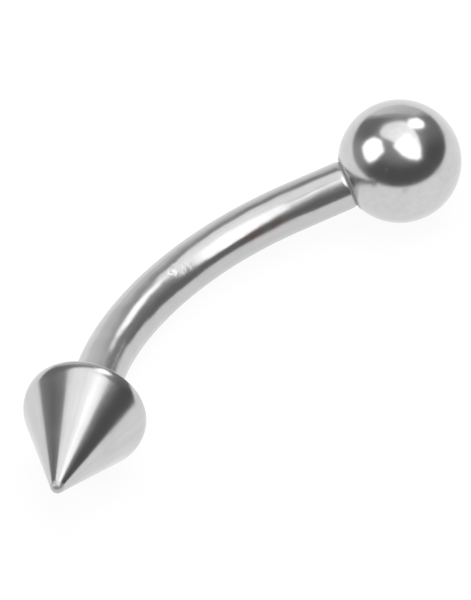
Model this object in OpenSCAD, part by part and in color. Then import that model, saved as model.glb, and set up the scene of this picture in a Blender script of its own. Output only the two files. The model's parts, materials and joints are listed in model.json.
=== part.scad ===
// Curved eyebrow barbell: a bent round bar with a ball on one end and a spike on the other.
// It lies as it comes to rest by itself on a flat surface, on the ball, the bend and the spike's rim.

/* [Bar] */
// Thickness of the round bar, 1.2 being 16 gauge
bar_d = 1.2; // [1:0.1:1.6]
// Straight distance between the two shoulders that the ends screw up against
bar_length = 9.5; // [8:0.5:12]
// How far round the bend turns, in degrees
bend_angle = 63; // [45:1:70]
// Length of the straight stretch between the bend and each shoulder
straight_end = 1.5; // [1:0.1:2]
// Radius of the curve in which the bar's side draws in a little towards each shoulder
worn_round = 0.3; // [0.1:0.05:0.4]
// How far round that curve the side goes before it meets the shoulder's flat, in degrees
worn_turn = 30; // [10:5:40]

/* [Ball] */
// Diameter of the ball
ball_d = 3; // [2.5:0.1:4]

/* [Spike] */
// Diameter of the spike's base, and of the short straight rim round it
spike_d = 3; // [2.5:0.1:4]
// Height of the spike, from its flat base to its blunted tip
spike_h = 3.25; // [3:0.05:5]
// Radius that rounds the edge between the base and the rim
rim_round = 0.1; // [0.05:0.01:0.12]
// Height above the base at which the rim starts to curve into the flank
rim_height = 0.13; // [0.12:0.01:0.4]
// Radius of that curve
flank_round = 0.6; // [0.2:0.1:0.8]
// Radius of the blunted tip
tip_round = 0.17; // [0.1:0.01:0.3]

/* [Screwed ends] */
// How far each shoulder stands out round its post
shoulder = 0.15; // [0.13:0.01:0.2]
// Length of the post that each end screws onto
post_length = 1.5; // [1.2:0.1:1.6]
// Bevel round the tip of each post
post_bevel = 0.1; // [0.04:0.01:0.12]
// Space all round a post inside its hole
post_clearance = 0.03; // [0.01:0.01:0.06]
// Space left between the tip of a post and the bottom of its hole
hole_spare = 0.2; // [0.1:0.05:0.3]
// Width of the flat that shows round the bar at the mouth of the ball
seat_lip = 0.03; // [0.01:0.01:0.1]

/* [Hidden] */

// The straight ends are this much thinner all round than the bend, and start inside it by a length
// over which the bend's curve takes up half of that, so that the two overlap and meet at an edge
join_step = 0.002;

// Sides of a full circle, and steps of each rounded stretch of an outline
round_sides = 96;
arc_steps = 12;
steel = [0.78, 0.78, 0.8];

// Radii, and the bend that joins two straight ends at the stated length and angle
bar_r = bar_d / 2;
ball_r = ball_d / 2;
spike_r = spike_d / 2;
post_r = bar_r - shoulder;
hole_r = post_r + post_clearance;
hole_depth = post_length + hole_spare;
half_bend = bend_angle / 2;
bend_r = (bar_length - 2 * straight_end * cos(half_bend)) / (2 * sin(half_bend));
straight_r = bar_r - join_step;
join_overlap = sqrt(bend_r * join_step);

// The ball is cut flat where the shoulder seats, and its centre lies this far beyond the shoulder
seat_r = bar_r + seat_lip;
seat_depth = sqrt(ball_r * ball_r - seat_r * seat_r);

// The bar lies in the plane z = 0, bent round the origin, with the ball towards +X and the bulge
// towards +Y. These are the direction in which each end points, and the middle of each shoulder.
ball_dir = [cos(half_bend), -sin(half_bend), 0];
spike_dir = [-cos(half_bend), -sin(half_bend), 0];
ball_seat = bend_r * [sin(half_bend), cos(half_bend), 0] + straight_end * ball_dir;
spike_seat = bend_r * [-sin(half_bend), cos(half_bend), 0] + straight_end * spike_dir;
ball_centre = ball_seat + seat_depth * ball_dir;
tip_centre = spike_seat + (spike_h - tip_round) * spike_dir;

// The spike's flank is the straight line that touches the curve above the rim and the tip's round.
// It faces outwards at this angle above the flat base.
rim_to_tip = [flank_round - spike_r, spike_h - tip_round - rim_height];
flank_faces =
    atan2(rim_to_tip.y, rim_to_tip.x) - acos((flank_round - tip_round) / norm(rim_to_tip));

// How far each piece reaches along a direction of length 1. The bend's own reach holds for a
// direction that its arc faces, such as down or towards its bulge.
function ball_reach(d) = ball_centre * d + ball_r;
function bend_reach(d) = bend_r * norm([d.x, d.y]) + bar_r;
function edge_reach(d, height, round) =
    (spike_seat + height * spike_dir) * d
    + (spike_r - round) * sqrt(1 - pow(spike_dir * d, 2)) + round;
function rim_reach(d) =
    max(edge_reach(d, rim_round, rim_round), edge_reach(d, rim_height, flank_round));
function tip_reach(d) = tip_centre * d + tip_round;
function spike_reach(d) = max(rim_reach(d), tip_reach(d));

// The floor seen from the bar: its upward direction after the bar is turned by yaw in its own
// plane, with the tilt at which the ball and the bend touch the same floor
function rest_tilt(yaw) =
    asin((ball_r - bar_r) / (bend_r + ball_centre.x * sin(yaw) - ball_centre.y * cos(yaw)));
function floor_up(yaw) =
    let (tilt = rest_tilt(yaw)) [sin(tilt) * sin(yaw), -sin(tilt) * cos(yaw), cos(tilt)];
// Height of the spike's rim above the floor that the ball touches
function rim_gap(yaw) = ball_reach(-floor_up(yaw)) - rim_reach(-floor_up(yaw));
// The yaw at which the rim touches too, found by halving a range that holds it
function settle(low, high, halvings) =
    let (middle = (low + high) / 2)
    halvings == 0 ? middle
    : rim_gap(low) * rim_gap(middle) > 0 ? settle(middle, high, halvings - 1)
    : settle(low, middle, halvings - 1);

rest_yaw = settle(-15, 15, 40);
tilt = rest_tilt(rest_yaw);
lift = ball_reach(-floor_up(rest_yaw));

// The box round the resting piece, measured along the floor's own directions
along = [cos(rest_yaw), sin(rest_yaw), 0];
across = [-sin(rest_yaw) * cos(tilt), cos(rest_yaw) * cos(tilt), sin(tilt)];
right = ball_reach(along);
left = spike_reach(-along);
back = max(bend_reach(across), ball_reach(across), spike_reach(across));
front = max(ball_reach(-across), spike_reach(-across));

// Lays the bar's plane down at rest, over the middle of the box, with the floor at z = 0
module at_rest() {
    translate([(left - right) / 2, (front - back) / 2, lift])
        rotate([-tilt, 0, 0]) rotate([0, 0, -rest_yaw]) children();
}

// Stands a shape that is modelled along +Z on a point, facing along the ball's or spike's end
module towards_ball(point) {
    translate(point) rotate([0, 90, -half_bend]) children();
}

module towards_spike(point) {
    translate(point) rotate([0, 90, 180 + half_bend]) children();
}

function arc_points(centre, r, from, to) = [
    for (i = [0 : arc_steps])
        let (a = from + (to - from) * i / arc_steps)
        centre + r * [cos(a), sin(a)]
];

// One straight end of the bar: its shoulder, and the plain post that stands in for the thread
module straight_and_post() {
    worn_centre = [straight_r - worn_round, straight_end - worn_round * sin(worn_turn)];
    tip = straight_end + post_length;
    rotate_extrude($fn = round_sides)
        polygon(concat(
            [[0, -join_overlap], [straight_r, -join_overlap]],
            arc_points(worn_centre, worn_round, 0, worn_turn),
            [
                [post_r, straight_end],
                [post_r, tip - post_bevel], [post_r - post_bevel, tip], [0, tip]
            ]
        ));
}

// The blind hole that a post fits, running up +Z from the mouth of a ball or spike
module post_hole() {
    cylinder(r = hole_r, h = hole_depth, $fn = round_sides);
}

module curved_bar() {
    color(steel) at_rest() {
        rotate([0, 0, 90 - half_bend])
            rotate_extrude(angle = bend_angle, $fn = round_sides)
                translate([bend_r, 0]) circle(r = bar_r, $fn = round_sides);
        towards_ball(ball_seat - straight_end * ball_dir) straight_and_post();
        towards_spike(spike_seat - straight_end * spike_dir) straight_and_post();
    }
}

module ball() {
    color(steel) at_rest() towards_ball(ball_seat) difference() {
        intersection() {
            translate([0, 0, seat_depth]) sphere(r = ball_r, $fn = round_sides);
            translate([-ball_d, -ball_d, 0]) cube(2 * ball_d);
        }
        post_hole();
    }
}

module spike() {
    color(steel) at_rest() towards_spike(spike_seat) difference() {
        rotate_extrude($fn = round_sides)
            polygon(concat(
                [[0, 0]],
                arc_points([spike_r - rim_round, rim_round], rim_round, -90, 0),
                arc_points([spike_r - flank_round, rim_height], flank_round, 0, flank_faces),
                arc_points([0, spike_h - tip_round], tip_round, flank_faces, 90)
            ));
        post_hole();
    }
}

curved_bar();
ball();
spike();
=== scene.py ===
# %% [markdown]
# A curved eyebrow barbell in polished steel
#
# The jewel is a round bar, bent like a banana, with a ball on one end and a blunt spike on the
# other. It is only 15 mm long. The solids that carry its sizes, its two screwed ends and its rest
# on the table come from the frame. This file gives those solids the true curves and the polish.

# %% Load the frame
import json
import math

import bpy
import numpy as np
from mathutils import Matrix, Vector


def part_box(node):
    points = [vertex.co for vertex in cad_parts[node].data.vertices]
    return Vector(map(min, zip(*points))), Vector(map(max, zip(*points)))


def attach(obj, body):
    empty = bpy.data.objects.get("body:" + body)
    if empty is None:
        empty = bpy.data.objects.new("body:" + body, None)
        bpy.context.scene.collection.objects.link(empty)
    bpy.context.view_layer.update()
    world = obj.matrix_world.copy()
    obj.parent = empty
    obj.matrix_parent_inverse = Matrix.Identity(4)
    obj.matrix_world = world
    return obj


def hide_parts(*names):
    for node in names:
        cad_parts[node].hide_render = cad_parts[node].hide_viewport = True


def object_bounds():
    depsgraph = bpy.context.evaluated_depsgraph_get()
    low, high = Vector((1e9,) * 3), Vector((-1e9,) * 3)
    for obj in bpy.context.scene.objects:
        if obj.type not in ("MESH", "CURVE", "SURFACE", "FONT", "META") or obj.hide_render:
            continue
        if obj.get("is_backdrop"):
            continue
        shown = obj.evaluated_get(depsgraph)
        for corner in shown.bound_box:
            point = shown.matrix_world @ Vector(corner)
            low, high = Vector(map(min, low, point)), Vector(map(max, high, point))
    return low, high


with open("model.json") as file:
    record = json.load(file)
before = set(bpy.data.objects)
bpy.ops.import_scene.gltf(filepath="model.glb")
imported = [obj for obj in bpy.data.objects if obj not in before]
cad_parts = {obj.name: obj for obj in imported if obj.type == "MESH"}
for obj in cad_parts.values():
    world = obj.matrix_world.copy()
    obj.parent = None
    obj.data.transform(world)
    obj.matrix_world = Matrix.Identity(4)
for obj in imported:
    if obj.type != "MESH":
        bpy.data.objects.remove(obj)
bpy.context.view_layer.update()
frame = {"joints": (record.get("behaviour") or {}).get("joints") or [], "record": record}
mm = 0.001


def box_as_lists():
    """The whole object's lowest and highest corner, as plain lists of numbers."""
    low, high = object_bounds()
    return [[float(v) for v in low], [float(v) for v in high]]


# %% [markdown]
# Where everything is
#
# The frame says where the ball is, in which direction each end screws off, and where the middle of
# the bar lies. The bend follows from those: the bar starts along one end's direction and finishes
# along the other's, and there is only one arc that joins them and passes through the middle. Places
# that come from the frame, and aren't typed in again, keep the polished surfaces on the solids.

# %% Directions and points of the bar


def unit(v):
    """The same direction with length 1."""
    v = np.array(v, float)
    return v / np.linalg.norm(v)


screws_off = {joint["name"]: unit(joint["axis"]) for joint in frame["joints"]}
ball_dir = screws_off["ball_unscrew"]
spike_dir = screws_off["spike_unscrew"]
piercing = frame["record"]["mounts"][0]
bar_middle = np.array(piercing["pos_m"], float)
bar_along = unit(piercing["axis"])

half_bend = math.acos(float(bar_along @ ball_dir))
bulge = (math.cos(half_bend) * bar_along - ball_dir) / math.sin(half_bend)
print("the bar turns", round(2 * math.degrees(half_bend), 2), "degrees")

# %% [markdown]
# Sizes
#
# Body jewellery comes in standard sizes. The bar is 16 gauge, which is 1.2 mm thick, with a ball
# and a spike of 3 mm. The frame holds no radii, so these are given here as the solids have them.
# Only the rounds of 0.02 mm on edges and in corners are new. They are too fine for the solids.

# %% Sizes of the pieces
bar_r = 0.6 * mm
post_r = 0.45 * mm
post_length = 1.5 * mm
hole_r = 0.48 * mm
hole_depth = 1.7 * mm
seat_r = 0.63 * mm
spike_r = 1.5 * mm
spike_h = 3.25 * mm
rim_height = 0.13 * mm
rim_round = 0.1 * mm
flank_round = 0.6 * mm
tip_round = 0.17 * mm
worn_round = 0.3 * mm
worn_turn = 30
post_bevel = 0.1 * mm
edge_round = 0.02 * mm
inner_round = 0.02 * mm

ball_low, ball_high = (np.array(corner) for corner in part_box("ball"))
ball_centre = (ball_low + ball_high) / 2
ball_r = float(np.max(ball_high - ball_low)) / 2
seat_depth = math.sqrt(ball_r**2 - seat_r**2)

# %% The arc that joins the two ends
# From the middle of the bar, the ball's centre lies bend_r sin(h) + reach cos(h) along the bar,
# and bend_r (cos(h) - 1) - reach sin(h) towards the bulge, where h is half the bend.
across_and_out = np.array([
    [math.sin(half_bend), math.cos(half_bend)],
    [math.cos(half_bend) - 1, -math.sin(half_bend)],
])
to_ball = ball_centre - bar_middle
bend_r, reach = np.linalg.solve(across_and_out, [to_ball @ bar_along, to_ball @ bulge])
straight_end = reach - seat_depth
bend_centre = bar_middle - bend_r * bulge
side = np.cross(bar_along, bulge)


def bend_end(sign):
    """Where the bend's arc ends: on the ball's side for +1, and on the spike's for -1."""
    outward = sign * math.sin(half_bend) * bar_along + math.cos(half_bend) * bulge
    return bend_centre + bend_r * outward


ball_seat = bend_end(1) + straight_end * ball_dir
spike_seat = bend_end(-1) + straight_end * spike_dir
print("bend radius", round(bend_r / mm, 3), "mm, straight ends", round(straight_end / mm, 3), "mm")

# %% [markdown]
# The camera
#
# The photograph was taken from the spike's side, from well above the table, with a long lens, so
# that the near spike is hardly larger than the far ball. A camera a hand's width away with a
# short lens would bend these proportions. The aim point is what lies at the middle of the image.

# %% Put the camera in place
image_height_px = 600
view_azimuth = math.radians(-43.14)
view_elevation = math.radians(50.14)
view_roll = math.radians(3.2)
view_distance = 400 * mm
aim = np.array([0.495, -0.194, 0.830]) * mm
px_per_mm = 41.44

flat = math.cos(view_elevation)
towards_camera = np.array([
    math.sin(view_azimuth) * flat, -math.cos(view_azimuth) * flat, math.sin(view_elevation)
])
level_right = unit(np.cross([0, 0, 1], towards_camera))
level_up = np.cross(towards_camera, level_right)
image_right = math.cos(view_roll) * level_right - math.sin(view_roll) * level_up
image_up = math.sin(view_roll) * level_right + math.cos(view_roll) * level_up

camera = bpy.data.objects.new("camera", bpy.data.cameras.new("camera"))
bpy.context.scene.collection.objects.link(camera)
bpy.context.scene.camera = camera
camera.data.sensor_fit = "VERTICAL"
camera.data.sensor_height = 24
focal_px = px_per_mm * view_distance / mm
camera.data.lens = camera.data.sensor_height * focal_px / image_height_px
camera.data.clip_start = 10 * mm
camera.data.clip_end = 10
axes = np.column_stack([image_right, image_up, towards_camera])
camera.matrix_world = (
    Matrix.Translation(Vector(aim + view_distance * towards_camera)) @ Matrix(axes.tolist()).to_4x4()
)
print("lens", round(camera.data.lens), "mm, camera", round(view_distance / mm), "mm away")

# %% [markdown]
# Shaders written as sums
#
# A material is a graph of nodes. Linking nodes one by one hides what they work out, so two small
# classes do the linking. With them a mask such as 1 - haze * 0.5 is written just like that, and
# every other node comes from one method.

# %% Shader values that work with Python's operators


class Value:
    """One output of a shader node. Adding or multiplying it makes the Math node that does so."""

    def __init__(self, graph, socket):
        self.graph = graph
        self.socket = socket

    def combine(self, operation, first, second):
        """A Math node that works out operation on two values, each a number or a link."""
        made = self.graph.node("ShaderNodeMath", {"operation": operation}, {0: first, 1: second})
        return self.graph.out(made)

    def __add__(self, other):
        return self.combine("ADD", self, other)

    def __sub__(self, other):
        return self.combine("SUBTRACT", self, other)

    def __mul__(self, other):
        return self.combine("MULTIPLY", self, other)

    def __rsub__(self, other):
        return self.combine("SUBTRACT", other, self)

    __radd__ = __add__
    __rmul__ = __mul__


class Graph:
    """The nodes of one material, or of the world."""

    def __init__(self, tree):
        self.tree = tree
        tree.nodes.clear()

    def node(self, kind, settings=None, sockets=None):
        """A new node of that type. Its settings come first, then its sockets' values or links."""
        made = self.tree.nodes.new(kind)
        for name, value in (settings or {}).items():
            setattr(made, name, value)
        for name, value in (sockets or {}).items():
            if isinstance(value, Value):
                self.tree.links.new(value.socket, made.inputs[name])
            else:
                made.inputs[name].default_value = value
        return made

    def out(self, made, name=0):
        """One output of a node, ready for arithmetic."""
        return Value(self, made.outputs[name])

    def ease(self, value, low, high, start=0.0, end=1.0):
        """start below low, end above high, and a smooth change between."""
        made = self.node(
            "ShaderNodeMapRange",
            {"interpolation_type": "SMOOTHSTEP"},
            {"Value": value, "From Min": low, "From Max": high, "To Min": start, "To Max": end},
        )
        return self.out(made, "Result")


# %% [markdown]
# The table
#
# Small jewels are photographed on a sheet of white acrylic, lit so that it comes out white. A
# sheet that only bounces light would need very strong lamps, and they would burn out the
# highlights on the steel. So this one glows by itself, as a light table does. It bounces only a
# little light, and that leaves a very faint shadow under the jewel.

# %% The table's surface
table_glow = 0.91
table_half = 2.0


def material(name):
    """A new material and its empty graph."""
    made = bpy.data.materials.new(name)
    made.use_nodes = True
    return made, Graph(made.node_tree)


def white_acrylic():
    """A matt sheet that glows white and bounces only a little light."""
    made, graph = material("white_acrylic")
    shader = graph.node("ShaderNodeBsdfPrincipled", None, {
        "Base Color": (0.12, 0.12, 0.12, 1),
        "Roughness": 0.8,
        "Specular IOR Level": 0.2,
        "Emission Color": (1, 1, 1, 1),
        "Emission Strength": table_glow,
    })
    graph.node("ShaderNodeOutputMaterial", None, {"Surface": graph.out(shader)})
    return made


def plate(name, corners, finish):
    """One sheet between these corners, in order."""
    mesh = bpy.data.meshes.new(name)
    mesh.from_pydata([tuple(c) for c in corners], [], [tuple(range(len(corners)))])
    mesh.materials.append(finish)
    made = bpy.data.objects.new(name, mesh)
    bpy.context.scene.collection.objects.link(made)
    return made


table = plate(
    "table",
    [(x * table_half, y * table_half, 0) for x, y in ((-1, -1), (1, -1), (1, 1), (-1, 1))],
    white_acrylic(),
)
table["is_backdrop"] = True
print("table", 2 * table_half, "m wide")

# %% [markdown]
# The studio
#
# Polished steel has almost no colour of its own. What shows on it is the room: white panels as
# bright shapes, the dark room between them as dark bands, and the table as a pale field below.
# So the panels are placed by what they do on the ball. Each is a glowing sheet, and its corners
# are given as they look from the jewel, looking straight up: degrees from overhead towards +X and
# towards -Y. The camera doesn't see the panels themselves.

# %% Panels round the jewel
panels = [
    {
        "name": "left_softbox", "away": 0.45, "glow": 2.1,
        "corners": [
            (-37, -56), (-26, -52), (-17, -41), (-18, -24), (-32, -7), (-51, -13), (-62, -26), (-54, -42),
        ],
    },
    {
        "name": "top_softbox", "away": 0.45, "glow": 2.1,
        "corners": [(-15, 1), (20, 1), (21, 15), (18, 38), (13, 50), (3, 50), (-9, 40), (-16, 26)],
    },
    {
        "name": "right_softbox", "away": 0.45, "glow": 2.1,
        "corners": [(34, -14), (44, -21), (59, -18), (62, -6), (53, 4), (42, 3), (33, -5)],
    },
    {
        "name": "pale_ceiling", "away": 0.65, "glow": 1.62, "far_glow": 1.22,
        "corners": [
            (-3, -39), (10, -41), (20, -34), (34, -24), (37, -10), (33, 9), (28, 24), (20, 41),
            (-9, 1), (-12, -27), (-9, -35),
        ],
    },
    {
        "name": "grey_panel", "away": 0.5, "glow": 0.64, "far_glow": 0.84,
        "corners": [(26, -88), (27, -66), (36, -50), (48, -34), (62, -25), (82, -33), (63, -63)],
    },
    {
        "name": "grey_panel_edge", "away": 0.75, "glow": 0.42,
        "corners": [(17, -88), (20, -66), (25, -48), (36, -33), (58, -20), (88, -24), (64, -64)],
    },
]


def from_overhead(east, south):
    """The direction that lies so many degrees from straight up, towards +X and towards -Y."""
    tilt = math.radians(math.hypot(east, south))
    sideways = unit([east, -south, 0]) if tilt else np.zeros(3)
    return math.sin(tilt) * sideways + math.cos(tilt) * np.array([0, 0, 1])


def glowing(name, corners, near, far):
    """White light with the strength near at the panel's -Y end, far at its +Y end."""
    made, graph = material(name)
    place = graph.out(graph.node("ShaderNodeTexCoord"), "Object")
    y = graph.out(graph.node("ShaderNodeSeparateXYZ", None, {0: place}), "Y")
    start, end = min(corner[1] for corner in corners), max(corner[1] for corner in corners)
    shader = graph.node("ShaderNodeEmission", None, {
        "Color": graph.ease(y, start, end, near, far), "Strength": 1.0,
    })
    graph.node("ShaderNodeOutputMaterial", None, {"Surface": graph.out(shader)})
    return made


for panel in panels:
    corners = [panel["away"] * from_overhead(*corner) for corner in panel["corners"]]
    light = glowing(panel["name"], corners, panel["glow"], panel.get("far_glow", panel["glow"]))
    hung = plate(panel["name"], corners, light)
    hung.visible_camera = False
    hung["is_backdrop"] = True
print(len(panels), "panels")

# %% [markdown]
# The dark room
#
# Between the panels the steel mirrors the rest of the room, which is dark but not black. It is
# paler in a few directions, where walls and the ceiling catch some light. The camera sees plain
# white instead of the room, because the photograph's ground is white up to its edges.

# %% Light from the room
# Each row adds light round one direction. It adds least where the cosine of the angle to that
# direction is edge or less, and most where it is middle or more.
pale_parts = [
    {
        "where": "behind the jewel", "towards": (0.5, 0.87, 0),
        "edge": 0, "middle": 1, "least": 0.13, "most": 0.26,
    },
    {
        "where": "low down on the left behind it", "towards": (-0.65, 0.76, 0),
        "edge": 0.8, "middle": 1, "least": 0, "most": 0.28,
    },
    {
        "where": "round the right softbox", "towards": from_overhead(54, 0),
        "edge": 0.78, "middle": 1, "least": 0, "most": 0.11,
    },
    {
        "where": "overhead", "towards": (0, 0, 1),
        "edge": 0.5, "middle": 0.95, "least": 0, "most": 0.25,
    },
]
world = bpy.data.worlds.new("room")
world.use_nodes = True
bpy.context.scene.world = world
room = Graph(world.node_tree)
looking = room.out(room.node("ShaderNodeTexCoord"), "Generated")
split = room.node("ShaderNodeSeparateXYZ", None, {0: looking})
sight = [room.out(split, name) for name in "XYZ"]


def facing(direction):
    """The cosine of the angle between the line of sight and a direction."""
    x, y, z = unit(direction)
    return sight[0] * x + sight[1] * y + sight[2] * z


brightness = sum(
    room.ease(facing(part["towards"]), part["edge"], part["middle"], part["least"], part["most"])
    for part in pale_parts
)
seen = room.out(room.node("ShaderNodeBackground", None, {"Strength": brightness}))
plain = room.out(room.node("ShaderNodeBackground", None, {"Color": (1, 1, 1, 1)}))
straight_look = room.out(room.node("ShaderNodeLightPath"), "Is Camera Ray")
mixed = room.node("ShaderNodeMixShader", None, {0: straight_look, 1: seen, 2: plain})
room.node("ShaderNodeOutputWorld", None, {"Surface": room.out(mixed)})
bpy.context.scene.view_settings.view_transform = "Standard"
print("the room is paler", ", ".join(part["where"] for part in pale_parts))

# %% [markdown]
# Turned surfaces
#
# The ball, the spike and the bar's ends are all turned on a lathe: an outline goes round an axis.
# The bar differs only in that its axis bends. So one function makes all three. It takes an
# outline, as pairs of radius and distance along the axis, and carries it round a path. Most
# corners of an outline are small arcs, because even a sharp steel edge has a polished roundness
# that catches the light.

# %% Outlines


def arc(centre, r, start, end, step=4):
    """Points of a circle from one angle to another in degrees, at most step degrees apart."""
    count = max(2, int(math.ceil(abs(end - start) / step)) + 1)
    a = np.radians(np.linspace(start, end, count))
    return np.column_stack([centre[0] + r * np.cos(a), centre[1] + r * np.sin(a)])


def with_rounded_corners(points, radii):
    """The outline through the points, where each inner corner is an arc that touches both sides.

    At a corner with a turn of t degrees the arc leaves the sides r tan(t / 2) from the corner.
    """
    points = np.array(points, float)
    pieces = [points[:1]]
    for before, corner, after, r in zip(points[:-2], points[1:-1], points[2:], radii):
        back, ahead = unit(before - corner), unit(after - corner)
        turn = math.pi - math.acos(float(np.clip(back @ ahead, -1, 1)))
        centre = corner + unit(back + ahead) * r / math.cos(turn / 2)
        leaves = [corner + side_dir * r * math.tan(turn / 2) - centre for side_dir in (back, ahead)]
        start, end = (math.degrees(math.atan2(v[1], v[0])) for v in leaves)
        if end - start > 180:
            end -= 360
        if start - end > 180:
            end += 360
        pieces.append(arc(centre, r, start, end, step=15))
    return np.vstack(pieces + [points[-1:]])


def filled_in(outline, spacing):
    """The same outline with points added, so that none is further than spacing from the next."""
    rows = [outline[:1]]
    for a, b in zip(outline[:-1], outline[1:]):
        count = max(1, int(math.ceil(np.linalg.norm(b - a) / spacing)))
        rows.append(a + (b - a) * np.linspace(0, 1, count + 1)[1:, None])
    return np.vstack(rows)


# %% Faces and normals of a carried outline


def faces_round(rings, sides):
    """Faces of a skin with one point at each end of its axis, and rings of points between them.

    Quads join each ring to the next. Triangles join the first and the last ring to the ends.
    """
    ring = 1 + np.arange(sides)
    following = np.roll(ring, -1)
    quads = [
        np.column_stack([ring, following, following + sides, ring + sides]) + k * sides
        for k in range(rings - 1)
    ]
    end_ring = ring + (rings - 1) * sides
    last = 1 + rings * sides
    faces = np.vstack(quads).tolist()
    faces += [[0, j, i] for i, j in zip(ring.tolist(), following.tolist())]
    faces += [[last, i, j] for i, j in zip(end_ring.tolist(), np.roll(end_ring, -1).tolist())]
    return faces


def normals_round(outline, radial, along):
    """The outline's direction at each point, turned a quarter to the outside, all round the path.

    radial points away from the path, for each point of the outline and each side.
    """
    step = np.gradient(outline, axis=0)
    outside = np.column_stack([step[:, 1], -step[:, 0]])
    outside /= np.linalg.norm(outside, axis=1)[:, None]
    normals = outside[:, :1, None] * radial + outside[:, 1:, None] * along[:, None]
    ends = np.sign(outside[[0, -1], 1])[:, None] * along[[0, -1]]
    return np.vstack([ends[:1], normals[1:-1].reshape(-1, 3), ends[1:]])


# %% Carry an outline round a path


def turned(name, outline, path, sides):
    """A closed skin: each point (r, s) of the outline goes round the path's point at distance s.

    The skin's point is path(s) + r (cos(a) across + sin(a) third), for the angle a all round,
    where third is square to the path and to across. The outline starts and ends on the axis, and
    s grows along its outer side. The attribute "straight" keeps (r cos(a), r sin(a), s) in
    millimetres: the point's place on the same piece with its axis unbent, which the marks follow.
    """
    r, s = outline[:, 0], outline[:, 1]
    a = np.linspace(0, 2 * math.pi, sides, endpoint=False)
    centre, across, along = path(s)
    third = np.cross(along, across)
    radial = np.cos(a)[None, :, None] * across[:, None] + np.sin(a)[None, :, None] * third[:, None]
    grid = centre[:, None] + r[:, None, None] * radial
    points = np.vstack([centre[:1], grid[1:-1].reshape(-1, 3), centre[-1:]])
    faces = faces_round(len(outline) - 2, sides)
    mesh = bpy.data.meshes.new(name)
    mesh.from_pydata(points.tolist(), [], faces)

    round_x, round_y = np.outer(r, np.cos(a)), np.outer(r, np.sin(a))
    straight = np.stack([round_x, round_y, np.repeat(s[:, None], sides, 1)], -1)[1:-1].reshape(-1, 3)
    straight = np.vstack([[0, 0, s[0]], straight, [0, 0, s[-1]]]) / mm
    kept = mesh.attributes.new("straight", "FLOAT_VECTOR", "POINT")
    kept.data.foreach_set("vector", straight.astype(np.float32).ravel())

    mesh.polygons.foreach_set("use_smooth", np.ones(len(faces), bool))
    mesh.normals_split_custom_set_from_vertices(normals_round(outline, radial, along).tolist())
    made = bpy.data.objects.new(name, mesh)
    bpy.context.scene.collection.objects.link(made)
    print(name, len(points), "points,", len(faces), "faces")
    return made


# %% Paths


def straight_path(start, along):
    """A straight axis from start in the direction along."""

    def path(s):
        centre = start + s[:, None] * along
        return centre, np.repeat(side[None], len(s), 0), np.repeat(along[None], len(s), 0)

    return path


# %% [markdown]
# The ball
#
# A ball bearing with a blind threaded hole. It is cut flat round the mouth of the hole, so that
# the bar's shoulder seats all round. The outline runs from the far pole over the ball, across the
# flat, and down into the hole.

# %% Turn the ball


def ball_outline():
    """From the pole over the sphere to the flat, then down the hole to its bottom."""
    mouth = math.degrees(math.asin(seat_r / ball_r))
    sphere = arc((0, seat_depth), ball_r, 90, -90 + mouth, step=2.5)
    sphere[0, 0] = 0
    hole = with_rounded_corners(
        [sphere[-1], (hole_r, 0), (hole_r, hole_depth), (0, hole_depth)],
        [inner_round, inner_round],
    )
    return filled_in(np.vstack([sphere, hole[1:]]), spacing=0.1 * mm)[::-1]


ball = turned("polished_ball", ball_outline(), straight_path(ball_seat, ball_dir), sides=160)
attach(ball, "ball_end")
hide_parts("ball")

# %% [markdown]
# The spike
#
# A cone with a flat base. Nothing on it is truly sharp: the tip is blunted so that it can be
# worn, and the rim is rounded, which shows as a thin bright line round the base.

# %% Turn the spike


def spike_outline():
    """From the blunt tip down the flank, round into the short rim, across the base, up the hole.

    The flank touches both the tip's round and the curve above the rim. It faces outwards at the
    angle of the line from the curve's centre to the round's, less the angle whose cosine is the
    difference of the two radii over the length of that line.
    """
    tip = np.array([0, spike_h - tip_round])
    curve = np.array([spike_r - flank_round, rim_height])
    rise = tip - curve
    faces = math.atan2(rise[1], rise[0]) - math.acos((flank_round - tip_round) / np.hypot(*rise))
    blunt = arc(tip, tip_round, 90, math.degrees(faces))
    blunt[0, 0] = 0
    skin = with_rounded_corners(
        [(spike_r, rim_height), (spike_r, 0), (hole_r, 0), (hole_r, hole_depth), (0, hole_depth)],
        [rim_round, inner_round, inner_round],
    )
    above_rim = arc(curve, flank_round, math.degrees(faces), 0)
    return filled_in(np.vstack([blunt, above_rim, skin[1:]]), spacing=0.05 * mm)[::-1]


spike = turned("polished_spike", spike_outline(), straight_path(spike_seat, spike_dir), sides=160)
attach(spike, "spike_end")
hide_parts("spike")

# %% [markdown]
# The bar
#
# A length of round wire, turned down at both ends and bent. On the real jewel the two posts carry
# a thread that the ball and the spike hide; here they are plain. The outline runs from one post's
# end to the other's, and its axis is straight, then an arc, then straight again.

# %% Turn and bend the bar
arc_length = 2 * half_bend * bend_r
shaft = arc_length + 2 * straight_end


def bent_path(s):
    """Straight up to the bend, round it, and straight again. s is 0 at the spike's shoulder.

    On the bend the axis has turned by (s - straight_end) / bend_r, less half of the bend.
    """
    turn = np.clip((s - straight_end) / bend_r, 0, 2 * half_bend) - half_bend
    beyond = np.minimum(s - straight_end, 0) + np.maximum(s - straight_end - arc_length, 0)
    outward = np.sin(turn)[:, None] * bar_along + np.cos(turn)[:, None] * bulge
    along = np.cos(turn)[:, None] * bar_along - np.sin(turn)[:, None] * bulge
    centre = bend_centre + bend_r * outward + beyond[:, None] * along
    return centre, outward, along


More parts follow.
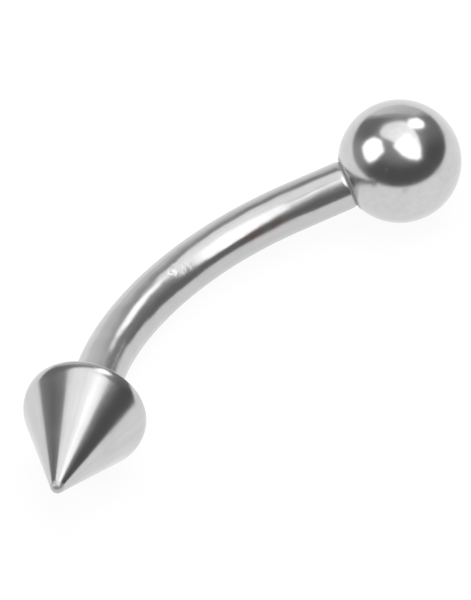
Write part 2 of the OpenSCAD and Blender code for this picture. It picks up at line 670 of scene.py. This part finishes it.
def bar_outline():
    """From the middle of the spike's post end, along the bar, to that of the ball's post end.

    The side draws in a little towards each shoulder, along an arc of radius worn_round that turns
    through worn_turn degrees. A small round then leads over to the shoulder's flat. It takes the
    place of the arc's points up to the one numbered taken.
    """
    taken = 3
    worn_centre = (bar_r - worn_round, -worn_round * math.sin(math.radians(worn_turn)))
    worn = arc(worn_centre, worn_round, worn_turn, 0)
    post = with_rounded_corners(
        [
            (0, post_length), (post_r - post_bevel, post_length), (post_r, post_length - post_bevel),
            (post_r, 0), worn[0], worn[taken],
        ],
        [edge_round, edge_round, inner_round, edge_round],
    )
    half = np.vstack([post, worn[taken + 1:]])
    return filled_in(np.vstack([half * [1, -1], half[::-1] + [0, shaft]]), spacing=0.08 * mm)


bar = turned("polished_bar", bar_outline(), bent_path, sides=96)
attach(bar, "bar")
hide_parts("curved_bar")

# %% [markdown]
# Polished steel
#
# Surgical steel is polished on a soft wheel until it mirrors the room. Looked at closely the
# mirror isn't perfect: the wheel leaves a faint waviness, fine marks that follow the way in which
# the piece was held to it, and a slight haze that is stronger in some places than in others. All
# of this is far too shallow to show in an outline, so a Bump node tilts the mirror instead of
# moving the mesh, and a map of roughness makes the haze.

# %% How fine and how deep the marks of the polish are
# Scales are in clouds or rings to a millimetre, or for the lines to a length of the piece's
# radius. Heights are in steps of the bump.
bump_step = 0.0025 * mm
haze_scale = 1.3
wave_scale = 1.6
ring_scale = 16
line_scale = 9
grain_scale = 7
line_height = 0.12
grain_height = 0.04
# The lines are a cloudy pattern squeezed by this much along the axis, which draws it out
line_squeeze = 0.06
# What full haze and full marks add to the roughness, how dark the most worn spots are, and how
# much more blue than red there is in steel
haze_roughness = 0.04
mark_roughness = 0.04
worn_shade = 0.93
steel_blue = 1.005

# %% The steel


def mix_colours(graph, factor, first, second):
    """A colour between two, each a triple or a link."""
    colours = [c if isinstance(c, Value) else (*c, 1) for c in (first, second)]
    mixed = graph.node("ShaderNodeMix", {"data_type": "RGBA"}, {
        "Factor": factor, 6: colours[0], 7: colours[1],
    })
    return graph.out(mixed, 2)


def clouds(graph, place, scale, detail):
    """Smooth random values from 0 to 1, with finer clouds inside the large ones for more detail."""
    made = graph.node("ShaderNodeTexNoise", None, {"Vector": place, "Scale": scale, "Detail": detail})
    return graph.out(made, "Fac")


def lines_round(graph, place):
    """The place that clouds read to become lines along the axis.

    It is the direction away from the axis, as a point of a circle of radius 1, plus a small part
    of the distance along the axis.
    """
    across = graph.out(graph.node("ShaderNodeMapping", None, {0: place, "Scale": (1, 1, 0)}))
    around = graph.out(graph.node("ShaderNodeVectorMath", {"operation": "NORMALIZE"}, {0: across}))
    return graph.out(graph.node("ShaderNodeVectorMath", {"operation": "MULTIPLY_ADD"}, {
        0: place, 1: (0, 0, line_squeeze), 2: around,
    }))


def lathe_rings(graph, x, y):
    """Rings round the axis: random values that depend only on the distance from it."""
    squared = x * x + y * y
    made = graph.node("ShaderNodeTexNoise", {"noise_dimensions": "1D"}, {
        "W": squared.combine("SQRT", squared, 0), "Scale": ring_scale, "Detail": 3,
    })
    return graph.out(made)


def polished_steel(name, grey, lines_along, waves, haze_base, metal, wear_and_painted_reflection):
    """Mirror steel with wheel marks that run along the axis, or with a fine even grain.

    The flat at s = 0, on which the ball or the spike seats, shows the rings of the lathe instead.
    waves is the height of the waviness, and haze_base the roughness of the clearest spots.
    A metal value a little below 1 makes the mirror milkier. The last argument gets the graph, the
    place on the unbent piece and its x, y and s. It returns the height and the haze that the piece's
    own marks add, and the share and the colour painted over the steel: a brown reflection painted on
    the bar, and a smudge on the ball.
    """
    made, graph = material(name)
    place = graph.out(
        graph.node("ShaderNodeAttribute", {"attribute_name": "straight"}), "Vector"
    )
    split = graph.node("ShaderNodeSeparateXYZ", None, {0: place})
    x, y, s = (graph.out(split, axis) for axis in "XYZ")

    haze = graph.ease(clouds(graph, place, haze_scale, 3), 0.4, 0.7)
    waviness = clouds(graph, place, wave_scale, 0) * waves
    if lines_along:
        polish = clouds(graph, lines_round(graph, place), line_scale, 4)
    else:
        polish = clouds(graph, place, grain_scale, 5)
    flat_face = graph.ease(s, 0.005, 0.03, 1, 0)
    marks = polish * (1 - flat_face) + lathe_rings(graph, x, y) * flat_face
    added_height, added_haze, reflection_and_smudge_share, reflection_and_smudge_colour = wear_and_painted_reflection(graph, place, x, y, s)

    roughness = haze_base + haze_roughness * haze + mark_roughness * marks + added_haze
    height = waviness + marks * (line_height if lines_along else grain_height) + added_height
    bump = graph.node("ShaderNodeBump", None, {
        "Strength": 1.0, "Distance": bump_step, "Height": height,
    })
    tint = (grey, grey, steel_blue * grey)
    worn = graph.ease(marks, 0.35, 0.7) * 0.6 + haze * 0.4
    clean = mix_colours(graph, worn, tint, [worn_shade * c for c in tint])
    # The base colour also takes a brown reflection painted on the bar, and the ball's smudge
    shader = graph.node("ShaderNodeBsdfPrincipled", None, {
        "Base Color": mix_colours(graph, reflection_and_smudge_share, clean, reflection_and_smudge_colour),
        "Metallic": metal,
        "Roughness": roughness,
        "Normal": graph.out(bump),
    })
    graph.node("ShaderNodeOutputMaterial", None, {"Surface": graph.out(shader)})
    return made


# %% [markdown]
# Marks of use, and a painted reflection
#
# The jewel isn't quite new. The bar has a dent with scrapes beside it, as a tool leaves them,
# and further along it is pressed a little out of round, as bending can do. A brown reflection is
# painted into the colour along its inner side. The ball has a faint scuff and a smudge, and the
# spike's tip is rubbed dull. The faces that seat on each other were never polished. Each mark is a
# soft-edged patch, which adds height to the bump, haze to the mirror or a share of a colour.
#
# Patches are placed on the unbent piece, in millimetres. s runs along it. x points to the outer
# side of the bend on the bar, and to the top side on the ball and the spike. y lies a quarter turn
# further round.

# %% Patches on the unbent piece


def near(graph, place, centre, radius):
    """1 at the centre, falling to 0 at the radius."""
    apart = graph.node("ShaderNodeVectorMath", {"operation": "DISTANCE"}, {0: place, 1: centre})
    return graph.ease(graph.out(apart, "Value"), 0, radius, 1, 0)


def stretch(graph, s, start, whole, fades, end):
    """1 between whole and fades along the piece, falling to 0 at start and at end."""
    return graph.ease(s, start, whole) * graph.ease(s, fades, end, 1, 0)


def out_towards(x, y, turn):
    """How far a point lies out from the axis in one direction: x cos(turn) + y sin(turn).

    turn is in degrees. On the bar 0 is the outer side, 90 the top side and 180 the inner side.
    """
    return x * math.cos(math.radians(turn)) + y * math.sin(math.radians(turn))


def turned_face(graph, s, seat, reach):
    """Haze of a face that seats on another, left as the lathe cut it, and of the edge beside it.

    It falls off with the square of the distance from the seat, to 0 at the reach.
    """
    return graph.ease((s - seat) * (s - seat), 0, reach**2, 0.42, 0)


# %% The bar's marks and its painted reflection
dent_place = (-0.39, 0.45, 5.1)
dent_radius = 0.14
dent_height = -4.5
scrapes_place = (-0.41, 0.43, 5.45)
scrapes_radius = 0.45
scrapes_height = 5.5
scrape_scale = 5.0
pressed_stretch = (4.9, 5.5, 8.0, 9.6)
pressed_line = 150
pressed_height = 10
# A brown reflection painted into the colour along the bar's inner side, with its strength and colour
painted_reflection_stretch = (6.9, 7.5, 8.3, 9.0)
painted_reflection_line = 168
painted_reflection_edge = 0.57
painted_reflection_scale = 3.5
painted_reflection_share = 0.85
painted_reflection_brown = (0.48, 0.395, 0.375)


def bar_marks_and_painted_reflection(graph, place, x, y, s):
    """A dent, scrapes, the pressed stretch, a painted brown reflection, and the two shoulders' haze.

    The pressed stretch is low on the top side and high on the underside of the line that faces
    pressed_line degrees. On the opposite side of the bar nothing is pressed.
    """
    dent = near(graph, place, dent_place, dent_radius)
    scraped = near(graph, place, scrapes_place, scrapes_radius)
    scrapes = scraped * clouds(graph, place, scrape_scale, 2)
    pressed = (
        graph.ease(out_towards(x, y, pressed_line + 90), -0.2, 0.2)
        * graph.ease(out_towards(x, y, pressed_line), -0.5, 0.3)
        * stretch(graph, s, *pressed_stretch)
    )
    height = dent * dent_height + scrapes * scrapes_height + pressed * pressed_height

    # A brown reflection painted in patches into the colour of the bar's inner side
    patches = graph.ease(clouds(graph, place, painted_reflection_scale, 3), 0.35, 0.6, 0.3, 1)
    inner_strip = graph.ease(out_towards(x, y, painted_reflection_line), painted_reflection_edge, bar_r / mm)
    painted_reflection = stretch(graph, s, *painted_reflection_stretch) * inner_strip * patches
    seats = turned_face(graph, s, 0, 0.07) + turned_face(graph, s, shaft / mm, 0.07)
    return height, seats, painted_reflection * painted_reflection_share, painted_reflection_brown


# %% The ball's and the spike's marks
scuff_place = (0.66, 1.27, 0.92)
scuff_radius = 0.1
scuff_haze = 0.1
smudge_place = (0.03, 1.48, 1.13)
smudge_radius = 0.14
smudge_share = 0.35
smudge_grey = (0.35, 0.35, 0.35)
tip_haze = 0.3
dull_tip = (0.2, 0.1)


def marks_on_ball(graph, place, x, y, s):
    """A scuff, a smudge, and the haze of the flat at the mouth of the hole."""
    scuff = near(graph, place, scuff_place, scuff_radius) * scuff_haze
    smudge = near(graph, place, smudge_place, smudge_radius) * smudge_share
    return 0.0, scuff + turned_face(graph, s, 0, 0.06), smudge, smudge_grey


def marks_on_spike(graph, place, x, y, s):
    """Haze that starts and is full at the two distances dull_tip below the tip."""
    starts, full = (spike_h / mm - below for below in dull_tip)
    return 0.0, graph.ease(s, starts, full, 0, tip_haze), 0.0, smudge_grey


# %% Polish the three pieces
finishes = [
    {
        "piece": bar, "name": "bar_steel", "grey": 0.575, "lines_along": True, "waves": 8,
        "haze_base": 0.18, "metal": 0.87, "wear_and_painted_reflection": bar_marks_and_painted_reflection,
    },
    {
        "piece": ball, "name": "ball_steel", "grey": 0.61, "lines_along": False, "waves": 1.2,
        "haze_base": 0.15, "metal": 1.0, "wear_and_painted_reflection": marks_on_ball,
    },
    {
        "piece": spike, "name": "spike_steel", "grey": 0.59, "lines_along": True, "waves": 1.2,
        "haze_base": 0.16, "metal": 1.0, "wear_and_painted_reflection": marks_on_spike,
    },
]
for finish in finishes:
    piece = finish.pop("piece")
    piece.data.materials.append(polished_steel(**finish))
    print(piece.name, "has", finish["name"])

# %% Write down the sizes, and finish
print("box of the visual model, mm:", np.round(np.array(box_as_lists()) / mm, 2).tolist())
